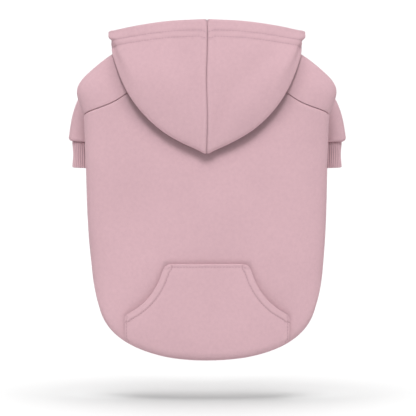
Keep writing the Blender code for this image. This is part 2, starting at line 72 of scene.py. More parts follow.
# Painted shade: how much the colour is darkened in a row of stitches, in the hood's middle seam,
# between ribs, in the hood's shadow where it rests on the back, and beside the pocket
ROW_SHADE = 0.11
MIDDLE_SHADE = 0.30
RIB_SHADE = 0.55
REST_SHADE = 0.42
POCKET_SHADE = 0.16


def length(name, default, about, low=0.0, high=0.1):
    return FloatProperty(
        name=name,
        description=about,
        default=default,
        min=low,
        max=high,
        subtype="DISTANCE",
        unit="LENGTH",
    )


def colour(name, default, about):
    return FloatVectorProperty(
        name=name, description=about, default=default, min=0.0, max=1.0, size=3, subtype="COLOR"
    )


def power(name, default, about):
    return FloatProperty(name=name, description=about, default=default, min=0.0)


class HoodieCloth(bpy.types.PropertyGroup):
    """Sizes of the seams and the surface of the cloth."""

    seam_depth: length("Seam depth", 0.35 * MM, "How far the cloth dips into a seam")
    seam_reach: length("Seam reach", 1.5 * MM, "How far from a seam the cloth dips")
    seam_roll: length("Seam roll", 0.25 * MM, "How far the cloth swells beside a seam")
    pucker: length("Pucker", 0.12 * MM, "Height of the small puckers beside a seam")
    pucker_pitch: length("Pucker pitch", 7.0 * MM, "From one pucker to the next")
    wave: length("Slow waves", 0.55 * MM, "Height of the slow waves of the cloth")
    wave_size: length("Wave size", 90.0 * MM, "From one slow wave to the next", high=1.0)


class HoodieStitching(bpy.types.PropertyGroup):
    """Where the rows of stitches lie and how large a stitch is."""

    first_row: length("First rim row", 10.3 * MM, "From the hood's rim to its first row")
    second_row: length("Second rim row", 16.6 * MM, "From the hood's rim to its second row")
    opening_row: length("Opening row", 6.6 * MM, "From a hand opening to its row")
    top_row: length("Pocket top row", 2.7 * MM, "From the pocket's top to its row")
    side_row: length("Pocket side row", 2.2 * MM, "From the pocket's side to its row")
    groove: length("Groove", 0.38 * MM, "How far a row pulls the cloth in")
    groove_reach: length("Groove reach", 1.1 * MM, "How wide a row pulls the cloth in")
    stitch: length("Stitch", 2.3 * MM, "Length of one stitch")
    pitch: length("Pitch", 3.0 * MM, "From one stitch to the next")
    thread: length("Thread", 0.42 * MM, "Thickness of the thread")


class HoodieRibbing(bpy.types.PropertyGroup):
    """The ribbed cuffs."""

    ribs: IntProperty(name="Ribs", description="Ribs round a cuff", default=50, min=20, max=120)
    depth: length("Depth", 1.1 * MM, "Depth of the grooves between ribs")
    wall: length("Wall", 2.2 * MM, "Thickness of the folded rib knit")
    waist: length("Waist", 0.9 * MM, "How far the middle of a cuff draws in")


class HoodieColours(bpy.types.PropertyGroup):
    """Colours of the cloth and the studio."""

    fleece: colour("Fleece", (0.568, 0.369, 0.407), "The smooth face of the fleece")
    lining: colour("Lining", (0.660, 0.445, 0.487), "The brushed inside of the fleece")
    ribbing: colour("Ribbing", (0.640, 0.418, 0.460), "The rib knit")
    thread: colour("Thread", (0.400, 0.245, 0.275), "The stitches")
    floor: colour("Floor", (0.250, 0.250, 0.250), "The studio floor")


class HoodieStudio(bpy.types.PropertyGroup):
    """The floor, the lights and the camera."""

    floor_level: FloatProperty(
        name="Floor level",
        description="Height of the floor, below the neck",
        default=-0.349,
        subtype="DISTANCE",
        unit="LENGTH",
    )
    surround: power("Surround", 0.42, "Brightness of the soft light from all round")
    key: power("Key", 2.4, "Strength of the soft light above and in front")
    sides: power("Sides", 0.95, "Strength of each of the two wide lights beside")
    low: power("Low", 1.2, "Strength of the wide light from below")
    rear: power("Rear", 1.5, "Strength of the wide light behind")
    floor_glow: power("Floor glow", 0.27, "Light of the floor's own, which lightens its shadow")
    overhead: power("Overhead", 8.6, "Strength of the light on the floor")
    distance: length("Camera distance", 3.0, "From the camera to the hoodie", high=20.0)
    camera_height: length("Camera height", 0.10, "Height of the camera above the neck", high=5.0)
    pixel: length("Picture scale", 1.025 * MM, "Width at the hoodie that one picture point shows")


PICTURE_WIDTH = 416
SENSOR = 36.0
AIM = Vector((1.025, 0.0, -155.8)) * MM


# Meshes


def alone(piece):
    """Selects one object and nothing else."""
    bpy.ops.object.select_all(action="DESELECT")
    piece.select_set(True)
    bpy.context.view_layer.objects.active = piece


def apply_modifier(piece, modifier):
    alone(piece)
    bpy.ops.object.modifier_apply(modifier=modifier.name)


def linked(name, mesh):
    piece = bpy.data.objects.new(name, mesh)
    bpy.context.scene.collection.objects.link(piece)
    return piece


def read_vectors(items, name, count=3):
    values = np.zeros(len(items) * count)
    items.foreach_get(name, values)
    return values.reshape(-1, count)


def read_numbers(items, name):
    values = np.zeros(len(items), np.int64)
    items.foreach_get(name, values)
    return values


def smooth_step(share):
    share = np.clip(share, 0.0, 1.0)
    return share * share * (3 - 2 * share)


def bump_at(distance, centre, reach):
    """1 at centre, falling to 0 about twice reach away."""
    return np.exp(-(((distance - centre) / reach) ** 2))


def tree_of(points):
    tree = KDTree(len(points))
    for i, point in enumerate(points):
        tree.insert(point, i)
    tree.balance()
    return tree


def nearest(points, targets):
    """The distance of each point to the nearest target, and which target that is."""
    tree = tree_of(targets)
    found = [tree.find(p)[1:] for p in points]
    return np.array([f[1] for f in found]), np.array([f[0] for f in found], int)


def is_cut_edge(face, tree):
    """Whether a face lies across a cut edge of the cloth: it has two sharp edges, and the
    cloth runs on far behind it."""
    sharp = sum(edge.calc_face_angle(math.pi) > CUT_EDGE_TURN for edge in face.edges)
    if sharp < 2:
        return False
    inside = face.calc_center_median() - face.normal * 0.4 * MM
    depth = tree.ray_cast(inside, -face.normal)[3]
    return depth is None or depth > CUT_EDGE_DEPTH


def mark_sides(bm, towards):
    """Gives each face its side of the cloth: the face, the lining or a cut edge. The face
    is the side that reaches further towards one direction."""
    bm.normal_update()
    tree = BVHTree.FromBMesh(bm)
    seen = {face for face in bm.faces if is_cut_edge(face, tree)}
    runs = []
    for first in bm.faces:
        if first in seen:
            continue
        seen.add(first)
        waiting = [first]
        run = []
        while waiting:
            here = waiting.pop()
            run.append(here)
            for edge in here.edges:
                if edge.calc_face_angle(math.pi) > CUT_EDGE_TURN:
                    continue
                for other in edge.link_faces:
                    if other not in seen:
                        seen.add(other)
                        waiting.append(other)
        runs.append(run)
    runs.sort(key=lambda run: sum(f.calc_area() for f in run), reverse=True)
    two = sorted(runs[:2], key=lambda run: max(v.co.dot(towards) for f in run for v in f.verts))
    for face in bm.faces:
        face.material_index = CUT
    for side, run in zip((LINING, FACE), two):
        for face in run:
            face.material_index = side


def crease_cuts(bm, crease):
    """Creases the edges between a cut edge and the cloth's two sides."""
    layer = bm.edges.layers.float.get("crease_edge") or bm.edges.layers.float.new("crease_edge")
    for edge in bm.edges:
        sides = {f.material_index for f in edge.link_faces}
        edge[layer] = crease if len(sides) > 1 and CUT in sides else 0.0


def subdivide(piece, levels):
    smooth = piece.modifiers.new("smooth", "SUBSURF")
    smooth.levels = levels
    smooth.render_levels = levels
    apply_modifier(piece, smooth)


def edited(piece, change):
    """Runs a change on the piece's mesh as a bmesh."""
    bm = bmesh.new()
    bm.from_mesh(piece.data)
    change(bm)
    bm.to_mesh(piece.data)
    bm.free()


def relax(piece, rounds, reach):
    """Evens out a sheet away from its cut edges, without letting it shrink."""
    mesh = piece.data
    points = read_vectors(mesh.vertices, "co")
    ends = read_numbers(mesh.loops, "vertex_index")
    sides = np.repeat(
        read_numbers(mesh.polygons, "material_index"), read_numbers(mesh.polygons, "loop_total")
    )
    cut = np.unique(ends[sides == CUT])
    away, _ = nearest(points, points[cut])
    free = smooth_step(away / reach)[:, None]
    pairs = np.zeros(len(mesh.edges) * 2, np.int64)
    mesh.edges.foreach_get("vertices", pairs)
    a, b = pairs[0::2], pairs[1::2]
    count = np.maximum(np.bincount(pairs, minlength=len(points)), 1)[:, None]
    for share in (0.60, -0.56) * rounds:
        total = np.zeros_like(points)
        for axis in range(3):
            total[:, axis] = np.bincount(a, points[b, axis], len(points))
            total[:, axis] += np.bincount(b, points[a, axis], len(points))
        points += (total / count - points) * free * share
    mesh.vertices.foreach_set("co", points.ravel())
    mesh.update()


def smooth_copy(node, name, towards, levels, relaxing=0):
    """A smooth, closed copy of a CAD sheet, with its cut edges just rounded."""
    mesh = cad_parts[node].data.copy()
    mesh.name = name
    mesh.materials.clear()
    piece = linked(name, mesh)

    def prepare(bm):
        bmesh.ops.remove_doubles(bm, verts=bm.verts, dist=0.002 * MM)
        bmesh.ops.join_triangles(
            bm,
            faces=bm.faces,
            angle_face_threshold=math.radians(40),
            angle_shape_threshold=math.radians(120),
            topology_influence=1.0,
        )
        mark_sides(bm, towards)
        crease_cuts(bm, FIRST_CREASE)

    edited(piece, prepare)
    subdivide(piece, 1)
    if relaxing:
        relax(piece, relaxing, 9 * MM)
    edited(piece, lambda bm: crease_cuts(bm, LAST_CREASE))
    subdivide(piece, levels - 1)
    return piece


def write_painted_shade(mesh, values):
    """Stores the painted shade at each point: 1 makes the colour black."""
    pressed = mesh.attributes.new(PAINTED_SHADE, "FLOAT", "POINT")
    pressed.data.foreach_set("value", np.clip(values, 0.0, 1.0).astype(np.float32))


class Cloth:
    """A sheet while it is shaped: its points, the way its face looks there, and the edge of
    its face as runs of points."""

    def __init__(self, piece):
        self.piece = piece
        mesh = piece.data
        self.points = read_vectors(mesh.vertices, "co")
        corners = read_numbers(mesh.loops, "vertex_index")
        sides = read_numbers(mesh.polygons, "material_index")
        corner_sides = np.repeat(sides, read_numbers(mesh.polygons, "loop_total"))
        normals = read_vectors(mesh.vertex_normals, "vector")
        size = len(self.points)
        score = np.bincount(corners, (corner_sides == FACE) * 1.0 - (corner_sides == LINING), size)
        score /= np.maximum(np.bincount(corners, minlength=size), 1)
        self.on_face = score > 0.99
        self.facing = normals * np.sign(score)[:, None]
        between = np.abs(score) < 0.99
        faced = np.flatnonzero(self.on_face)
        _, which = nearest(self.points[between], self.points[faced])
        self.facing[between] = normals[faced[which]]
        self.edge, self.along = self.find_edge(mesh)
        # Painted shade at each point, which darkens its colour
        self.pressed = np.zeros(size)

    def find_edge(self, mesh):
        """The points where the face meets a cut edge, and how far along their run they lie."""
        bm = bmesh.new()
        bm.from_mesh(mesh)
        ways = {}
        for edge in bm.edges:
            if {f.material_index for f in edge.link_faces} == {FACE, CUT}:
                a, b = (v.index for v in edge.verts)
                ways.setdefault(a, []).append(b)
                ways.setdefault(b, []).append(a)
        bm.free()
        places = []
        along = []
        left = dict.fromkeys(sorted(ways))
        while left:
            here = next(iter(left))
            run = 0.0
            while here is not None:
                left.pop(here)
                places.append(self.points[here])
                along.append(run)
                ahead = [n for n in ways[here] if n in left]
                if ahead:
                    run += float(np.linalg.norm(self.points[ahead[0]] - self.points[here]))
                here = ahead[0] if ahead else None
        return np.array(places), np.array(along)

    def from_edge(self, keep):
        """The distance of each point to the part of the edge that keep picks, and how far
        along that edge it lies."""
        chosen = np.flatnonzero(keep(self.edge))
        distance, which = nearest(self.points, self.edge[chosen])
        return distance, self.along[chosen[which]]

    def lift(self, height):
        """Moves the whole thickness of the cloth the way its face looks."""
        self.points = self.points + self.facing * height[:, None]

    def paint_shade(self, amount):
        """Paints shade into the colour of the face, darkening it."""
        self.pressed = np.maximum(self.pressed, amount)

    def seam(self, sizes, distance, along, depth=1.0, pucker=1.0, reach=1.0):
        """Draws the cloth into a seam, with a soft roll and small puckers beside it."""
        dip = bump_at(distance, 0.0, sizes.seam_reach * reach) * sizes.seam_depth * depth
        roll = bump_at(distance, 2.6 * sizes.seam_reach, 1.5 * sizes.seam_reach)
        wobble = 1.3 * np.sin(along / sizes.pucker_pitch * 1.46)
        waves = np.sin(along / sizes.pucker_pitch * 2 * math.pi + wobble)
        fade = bump_at(distance, 1.5 * sizes.seam_reach, 2.2 * sizes.seam_reach)
        self.lift(roll * sizes.seam_roll * depth - dip + waves * fade * sizes.pucker * pucker)

    def row(self, distance, at, stitching, shown=1.0):
        """Pulls the cloth in along a row of stitches, and paints shade into its groove."""
        groove = bump_at(distance, at, stitching.groove_reach) * shown
        self.lift(-groove * stitching.groove)
        # Painted shade in the groove of the row
        self.paint_shade(groove * ROW_SHADE)

    def slow_waves(self, sizes, seed):
        """Slow uneven waves from a few seeded sine waves."""
        random = np.random.default_rng(seed)
        total = np.zeros(len(self.points))
        for _ in range(9):
            heading = random.normal(size=3)
            heading /= np.linalg.norm(heading) * sizes.wave_size * random.uniform(0.7, 1.6)
            total += np.sin(self.points @ heading * 2 * math.pi + random.uniform(0, 2 * math.pi))
        self.lift(total / 3 * sizes.wave)

    def dents(self, table):
        """Soft dents and swells seen from the back: where they are, their reach along and
        across, how they are turned, and their height."""
        seen = smooth_step(-self.facing[:, 1] * 1.6)
        x, z = self.points[:, 0], self.points[:, 2]
        height = np.zeros(len(x))
        for at_x, at_z, reach_along, reach_across, turn, size in table:
            c, s = math.cos(math.radians(turn)), math.sin(math.radians(turn))
            along = (x - at_x * MM) * c + (z - at_z * MM) * s
            across = (z - at_z * MM) * c - (x - at_x * MM) * s
            spread = (along / (reach_along * MM)) ** 2 + (across / (reach_across * MM)) ** 2
            height += size * MM * np.exp(-spread)
        self.lift(height * seen)

    def finish(self, *materials):
        """Writes the shaped points back, with a material for each side of the cloth."""
        mesh = self.piece.data
        mesh.vertices.foreach_set("co", self.points.ravel())
        write_painted_shade(mesh, self.pressed)
        for material in materials:
            mesh.materials.append(material)
        mesh.update()
        mesh.shade_smooth()
        return self.piece


# Stitches


def level_runs(cloth, values, level, keep):
    """The lines on the cloth's face where values reach a level: runs of points with the way
    that the cloth faces at each."""
    mesh = cloth.piece.data
    corners = read_numbers(mesh.loops, "vertex_index")
    starts = read_numbers(mesh.polygons, "loop_start")
    sides = read_numbers(mesh.polygons, "material_index")
    quads = np.flatnonzero((sides == FACE) & (read_numbers(mesh.polygons, "loop_total") == 4))
    loops = corners[starts[quads][:, None] + np.arange(4)]
    above = values[loops] > level
    mixed = (above.sum(1) > 0) & (above.sum(1) < 4)
    places = {}
    ways = {}
    for quad in loops[mixed]:
        crossed = []
        for a, b in zip(quad, np.roll(quad, -1)):
            if (values[a] > level) == (values[b] > level):
                continue
            key = (min(a, b), max(a, b))
            share = (level - values[key[0]]) / (values[key[1]] - values[key[0]])
            point = cloth.points[key[0]] * (1 - share) + cloth.points[key[1]] * share
            facing = cloth.facing[key[0]] * (1 - share) + cloth.facing[key[1]] * share
            places[key] = (point, facing / np.linalg.norm(facing))
            crossed.append(key)
        if len(crossed) == 2:
            ways.setdefault(crossed[0], []).append(crossed[1])
            ways.setdefault(crossed[1], []).append(crossed[0])
    ends = [k for k in ways if len(ways[k]) == 1]
    left = dict.fromkeys(ends + list(ways))
    runs = []
    while left:
        here = next(iter(left))
        run = []
        while here is not None:
            left.pop(here)
            run.append(places[here])
            here = next((n for n in ways[here] if n in left), None)
        points = np.array([p for p, _ in run])
        facing = np.array([f for _, f in run])
        kept = keep(points)
        for part in np.split(np.arange(len(points)), np.flatnonzero(np.diff(kept)) + 1):
            if kept[part[0]] and len(part) > 3:
                runs.append((points[part], facing[part]))
    return runs


STITCH_SIDES = 6
# Along a stitch, how thick its thread is and how far it stands above the cloth
STITCH_PROFILE = ((-0.5, 0.35, -0.9), (-0.38, 0.85, -0.25), (0.0, 1.0, 0.1), (0.38, 0.85, -0.25), (0.5, 0.35, -0.9))


def stitch_mesh(name, runs, stitching):
    """One mesh of separate stitches that follow the runs, each sunk at its ends."""
    places = []
    faces = []
    radius = stitching.thread / 2
    rings = len(STITCH_PROFILE)
    turns = np.arange(STITCH_SIDES) * 2 * math.pi / STITCH_SIDES
    for points, facing in runs:
        steps = np.linalg.norm(np.diff(points, axis=0), axis=1)
        reach = np.concatenate([[0.0], np.cumsum(steps)])
        count = int(reach[-1] // stitching.pitch)
        if count < 2:
            continue
        for i in range(count):
            middle = (i + 0.5) * reach[-1] / count
            first = len(places)
            for share, thick, stand in STITCH_PROFILE:
                here = middle + share * stitching.stitch
                at = np.array([np.interp(here, reach, points[:, k]) for k in range(3)])
                up = np.array([np.interp(middle, reach, facing[:, k]) for k in range(3)])
                ahead = np.array([np.interp(here + MM, reach, points[:, k]) for k in range(3)])
                behind = np.array([np.interp(here - MM, reach, points[:, k]) for k in range(3)])
                forward = (ahead - behind) / max(np.linalg.norm(ahead - behind), 1e-9)
                across = np.cross(forward, up)
                centre = at + up * stand * radius
                for turn in turns:
                    places.append(centre + (across * math.cos(turn) + up * math.sin(turn)) * radius * thick)
            for ring in range(rings - 1):
                for j in range(STITCH_SIDES):
                    k = (j + 1) % STITCH_SIDES
                    a = first + ring * STITCH_SIDES
                    b = a + STITCH_SIDES
                    faces.append((a + j, a + k, b + k, b + j))
            last = first + (rings - 1) * STITCH_SIDES
            faces.append(tuple(first + j for j in reversed(range(STITCH_SIDES))))
            faces.append(tuple(last + j for j in range(STITCH_SIDES)))
    mesh = bpy.data.meshes.new(name)
    mesh.from_pydata([tuple(p) for p in places], [], faces)
    piece = linked(name, mesh)

    def outwards(bm):
        bmesh.ops.recalc_face_normals(bm, faces=bm.faces)

    edited(piece, outwards)
    mesh.shade_smooth()
    mesh.materials.append(thread_material())
    return piece


# Shader maths


class Value:
    """A socket in a material's nodes, with arithmetic that adds Math nodes."""

    def __init__(self, tree, socket):
        self.tree = tree
        self.socket = socket

    def node(self, kind, inputs, output=0, **settings):
        """Adds any node: its type, the values or links of its sockets, and its settings."""
        made = self.tree.nodes.new(kind)
        for name, value in settings.items():
            setattr(made, name, value)
        for name, value in inputs.items():
            if isinstance(value, Value):
                self.tree.links.new(value.socket, made.inputs[name])
            else:
                made.inputs[name].default_value = value
        return Value(self.tree, made.outputs[output])

    def maths(self, operation, first, second):
        return self.node("ShaderNodeMath", {0: first, 1: second}, operation=operation)

    def __add__(self, other):
        return self.maths("ADD", self, other)

    def __radd__(self, other):
        return self.maths("ADD", other, self)

    def __sub__(self, other):
        return self.maths("SUBTRACT", self, other)

    def __rsub__(self, other):
        return self.maths("SUBTRACT", other, self)

    def __mul__(self, other):
        return self.maths("MULTIPLY", self, other)

    def __rmul__(self, other):
        return self.maths("MULTIPLY", other, self)

    def attribute(self, name):
        return self.node("ShaderNodeAttribute", {}, output=2, attribute_name=name)

    def mix(self, low, high):
        """A colour between two others, by this value."""
        return self.node(
            "ShaderNodeMix",
            {0: self, 6: low, 7: high},
            output=2,
            data_type="RGBA",
            clamp_factor=False,
        )


def new_material(name):
    """A material with its main shader, and its Object coordinates."""
    material = bpy.data.materials.new(name)
    material.use_nodes = True
    tree = material.node_tree
    shader = tree.nodes["Principled BSDF"]
    coordinates = tree.nodes.new("ShaderNodeTexCoord")
    return material, shader, Value(tree, coordinates.outputs["Object"])


def noise(place, scale, detail=2.0, roughness=0.5):
    inputs = {"Vector": place, "Scale": scale, "Detail": detail, "Roughness": roughness}
    return place.node("ShaderNodeTexNoise", inputs)


def shade(rgb, share):
    return (*[min(c * share, 1.0) for c in rgb], 1.0)


def cloth_look(material, shader, place, rgb, mottle, nap, relief):
    """Matt cloth: slow and fine mottling, loose fibres and a short nap. Its colour is darkened
    by painted shade stored on its points."""
    slow = noise(place, 16.0, 3.0)
    fine = noise(place, 300.0, 3.0, 0.6)
    # Painted shade from the point attribute darkens the colour
    blend = slow * 0.45 + fine * 0.55 - place.attribute(PAINTED_SHADE) * (0.5 / mottle)
    colour_link = blend.mix(shade(rgb, 1 - mottle), shade(rgb, 1 + mottle))
    fibres = noise(place, 1500.0, 2.0, 0.7)
    height = fine * 0.55 + fibres * 0.45
    bump = place.node("ShaderNodeBump", {"Height": height, "Strength": 1.0, "Distance": relief})
    links = place.tree.links
    links.new(colour_link.socket, shader.inputs["Base Color"])
    links.new((0.84 + fine * 0.14).socket, shader.inputs["Roughness"])
    links.new(bump.socket, shader.inputs["Normal"])
    shader.inputs["Specular IOR Level"].default_value = 0.18
    shader.inputs["Sheen Weight"].default_value = nap
    shader.inputs["Sheen Roughness"].default_value = 0.55
    shader.inputs["Sheen Tint"].default_value = shade(rgb, 1.35)
    return material


def kept(name):
    return bpy.data.materials.get(name)


def fleece_material():
    colours = bpy.context.scene.hoodie_colours
    name = "fleece face"
    return kept(name) or cloth_look(*new_material(name), tuple(colours.fleece), 0.13, 0.22, 0.28 * MM)


def lining_material():
    colours = bpy.context.scene.hoodie_colours
    name = "fleece lining"
    return kept(name) or cloth_look(*new_material(name), tuple(colours.lining), 0.07, 0.25, 0.5 * MM)


def ribbing_material():
    colours = bpy.context.scene.hoodie_colours
    name = "rib knit"
    return kept(name) or cloth_look(
        *new_material(name), tuple(colours.ribbing), 0.07, 0.10, 0.2 * MM
    )


def thread_material():
    colours = bpy.context.scene.hoodie_colours
    name = "thread"
    return kept(name) or cloth_look(*new_material(name), tuple(colours.thread), 0.05, 0.0, 0.05 * MM)


def cloth_materials():
    return fleece_material(), lining_material(), fleece_material()


def declare(piece, nodes):
    """Puts a sheet on the frame in place of its CAD nodes."""
    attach(piece, "root")
    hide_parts(*nodes)


# Body panels

HOODS = ("hood_left", "hood_right")
# How far the painted shadow of the hood reaches, and the painted shade beside the pocket
HOOD_REST_REACH = 10.0 * MM
POCKET_REST_REACH = 2.2 * MM


# Where painted shade falls: near the hood or the pocket lying over the cloth
def painted_shade_near(nodes, points, reach):
    """1 where points touch CAD nodes, falling to 0 about twice reach away from them."""
    trees = []
    for node in nodes:
        bm = bmesh.new()
        bm.from_mesh(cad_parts[node].data)
        trees.append(BVHTree.FromBMesh(bm))
        bm.free()
    distance = np.array([min(tree.find_nearest(p)[3] for tree in trees) for p in points])
    return bump_at(distance, 0.0, reach)


NECK_SEAM_FROM = -30.0 * MM
RAGLAN_DOWN_TO = -76.0 * MM
SIDE_SEAM_DOWN_TO = -192.0 * MM

# x, z, reach along, reach across, turn, height: in mm and degrees
BACK_DENTS = (
    (-70.0, -150.0, 60.0, 14.0, 62.0, -0.5),
    (74.0, -142.0, 60.0, 14.0, 118.0, -0.5),
    (30.0, -178.0, 70.0, 22.0, 170.0, 0.5),
)


def raglan_part(edge):
    return (edge[:, 2] > RAGLAN_DOWN_TO) & (np.abs(edge[:, 0]) > 40 * MM)


def side_seam_part(edge):
    return (edge[:, 2] < RAGLAN_DOWN_TO) & (edge[:, 2] > SIDE_SEAM_DOWN_TO) & (edge[:, 1] > 10 * MM)


class HOODIE_OT_body_panels(bpy.types.Operator):
    """Make the back panel and the belly panel"""

    bl_idname = "hoodie.body_panels"
    bl_label = "Body panels"

    def execute(self, context):
        sizes = context.scene.hoodie_cloth
        back = Cloth(smooth_copy("back_panel", "back_cloth", Vector((0, -1, 0)), 3))
        back.seam(sizes, *back.from_edge(raglan_part), depth=0.25)
        # Painted shadow of the hood where it rests on the back
        back.paint_shade(painted_shade_near(HOODS, back.points, HOOD_REST_REACH) * REST_SHADE)
        # Painted shade on the back along the pocket's edges
        back.paint_shade(painted_shade_near(("pocket",), back.points, POCKET_REST_REACH) * POCKET_SHADE)
        back.seam(sizes, *back.from_edge(side_seam_part), depth=0.8)
        back.slow_waves(sizes, 3)
        back.dents(BACK_DENTS)
        belly = Cloth(smooth_copy("belly_panel", "belly_cloth", Vector((0, 1, 0)), 3))
        belly.seam(sizes, *belly.from_edge(raglan_part))
        belly.seam(sizes, *belly.from_edge(side_seam_part), depth=0.8)
        belly.slow_waves(sizes, 3)
        declare(back.finish(*cloth_materials()), ["back_panel"])
        declare(belly.finish(*cloth_materials()), ["belly_panel"])
        return {"FINISHED"}


# Sleeves


def sleeve_end(cloth, node):
    """The distance of each point above the cuff's seam, and how far round it the point lies."""
    low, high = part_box(node)
    middle = (low + high) / 2
    half = (high - low) / 2
    away = cloth.points - np.array(middle)
    turn = np.arctan2(away[:, 1] / half.y, away[:, 0] / half.x)
    near = smooth_step((cloth.points[:, 1] - 20 * MM) / (15 * MM))
    return cloth.points[:, 2] - high.z + (1 - near) * 50 * MM, turn * (half.x + half.y) / 2


class HOODIE_OT_sleeves(bpy.types.Operator):
    """Make the two raglan sleeves"""

    bl_idname = "hoodie.sleeves"
    bl_label = "Sleeves"

    def execute(self, context):
        sizes = context.scene.hoodie_cloth
        for word, side in (("left", -1), ("right", 1)):
            towards = Vector((side, 0, 0))
            node = f"sleeve_{word}"
            cuff = f"cuff_{word}"
            sleeve = Cloth(smooth_copy(node, f"sleeve_cloth_{word}", towards, 3, relaxing=8))
            raglan = sleeve.from_edge(lambda edge: (edge[:, 2] > -82 * MM) & (edge[:, 2] < -8 * MM))
            sleeve.slow_waves(sizes, 3)
            sleeve.seam(sizes, *raglan, depth=0.25)
            # Painted shadow of the hood, weaker, on the sleeve near it
            sleeve.paint_shade(painted_shade_near(HOODS, sleeve.points, HOOD_REST_REACH) * REST_SHADE * 0.6)
            sleeve.seam(sizes, *sleeve_end(sleeve, cuff), depth=0.6, pucker=2.0)
            declare(sleeve.finish(*cloth_materials()), [node])
        return {"FINISHED"}


# Cuffs

CUFF_ROWS = 14
CUFF_FOLD_STEPS = 6
POINTS_PER_RIB = 6


def cuff_profile(ribbing, height):
    """Down the outside of a cuff, round its fold and up the inside: how far in each row
    lies, how far down, and how deep the ribs are there."""
    fold = ribbing.wall / 2
    rows = []
    for i in range(CUFF_ROWS + 1):
        down = (height - fold) * i / CUFF_ROWS
        pull = ribbing.waist * math.sin(math.pi * down / height) ** 2
        rows.append((pull, down, 1.0))
    for i in range(1, CUFF_FOLD_STEPS):
        turn = math.pi * i / CUFF_FOLD_STEPS
        rows.append((fold * (1 - math.cos(turn)), height - fold + fold * math.sin(turn), 1.0))
    for i in range(CUFF_ROWS, -1, -2):
        down = (height - fold) * i / CUFF_ROWS
        pull = ribbing.waist * math.sin(math.pi * down / height) ** 2
        rows.append((ribbing.wall + pull, down, -0.6))
    return rows


def cuff_mesh(name, node, ribbing):
    """A ribbed ring in the place of a CAD cuff."""
    low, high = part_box(node)
    centre = (low + high) / 2
    half_x = (high.x - low.x) / 2
    half_y = (high.y - low.y) / 2
    rows = cuff_profile(ribbing, high.z - low.z)
    around = ribbing.ribs * POINTS_PER_RIB
    angles = np.arange(2400) * 2 * math.pi / 2400
    steps = np.hypot(half_x * np.sin(angles), half_y * np.cos(angles))
    girth = np.concatenate([[0.0], np.cumsum(steps)])
    even = np.interp(np.arange(around) / around * girth[-1], girth, np.arange(2401) * 2 * math.pi / 2400)
    rib = np.abs(np.sin(np.arange(around) / POINTS_PER_RIB * math.pi)) ** 0.7
    places = []
    for pull, down, ribs in rows:
        inset = pull + ribbing.depth * (1 - rib) * abs(ribs) * (1 if ribs > 0 else -1)
        x = centre.x + (half_x - inset) * np.cos(even)
        y = centre.y + (half_y - inset) * np.sin(even)
        places += [(px, py, high.z - down) for px, py in zip(x, y)]
    count = len(rows)
    faces = []
    for i in range(count):
        for j in range(around):
            k = (j + 1) % around
            a = i * around
            b = ((i + 1) % count) * around
            faces.append((a + j, b + j, b + k, a + k))
    mesh = bpy.data.meshes.new(name)
    mesh.from_pydata(places, [], faces)
    # Painted shade in the grooves between the ribs
    write_painted_shade(mesh, np.tile(1 - rib, count) * RIB_SHADE)
    mesh.materials.append(ribbing_material())
    mesh.shade_smooth()
    return linked(name, mesh)


class HOODIE_OT_cuffs(bpy.types.Operator):
    """Make the two rib-knit cuffs"""

    bl_idname = "hoodie.cuffs"
    bl_label = "Cuffs"

    def execute(self, context):
        for word in ("left", "right"):
            node = f"cuff_{word}"
            cuff = cuff_mesh(f"rib_{node}", node, context.scene.hoodie_ribbing)
            declare(cuff, [node])
        return {"FINISHED"}


# Hood

HOOD_DENTS = (
    (15.0, -55.0, 30.0, 8.0, 84.0, -2.6),
    (-14.0, -40.0, 30.0, 9.0, 96.0, -1.2),
    (50.0, -10.0, 36.0, 13.0, 40.0, -2.4),
    (-40.0, -22.0, 36.0, 16.0, 130.0, 1.2),
    (44.0, -50.0, 26.0, 13.0, 52.0, 1.4),
)
HOOD_MIDDLE = 2.0 * MM
# The halves of the hood are sewn together, so the gap between them closes
HOOD_CLOSING = 0.17 * MM
HOOD_TOP_CLOSING = 0.75 * MM
NECK_SIDE_LEVEL = 13.0 * MM
NECK_FALL = 1.5
NECK_FALL_FROM = 22.5 * MM
RIM_ABOVE_NECK = 4.0 * MM
NECK_CLOSING = 0.9 * MM
THROAT_CLOSING = 2.4 * MM
BELLY_CORNER = 46.0 * MM
CORNER_CLOSING = 6.0 * MM
# height, reach and shift outwards of the hood's corners, in mm
CORNER_SHIFTS = ((27.0, 2.5, -0.5), (19.3, 3.6, 2.6), (11.0, 4.0, -0.7))
# The middle seam wanders a little to both sides
SEAM_WANDER = 0.45 * MM
SEAM_WANDER_SIZE = 13.0 * MM


def hood_middle(edge):
    return np.abs(edge[:, 0]) < HOOD_MIDDLE


def hood_rim(edge):
    """Picks the rim: the edge that isn't on the middle and lies well above the neck, whose
    level falls from the sides to the throat."""
    neck_level = NECK_SIDE_LEVEL - NECK_FALL * np.maximum(edge[:, 1] - NECK_FALL_FROM, 0.0)
    high = edge[:, 2] > neck_level + RIM_ABOVE_NECK
    return (np.abs(edge[:, 0]) > 0.6 * MM) & high


def hood_neck(edge):
    """Picks the edge that is sewn to the neck."""
    return (np.abs(edge[:, 0]) > 0.6 * MM) & ~hood_rim(edge)


def corner_shift(points):
    """How far out the points near a corner of the hood move, to round it off."""
    outer = smooth_step((np.abs(points[:, 0]) - 78 * MM) / (16 * MM))
    shifts = [bump_at(points[:, 2], z * MM, reach * MM) * size for z, reach, size in CORNER_SHIFTS]
    return outer * sum(shifts) * MM


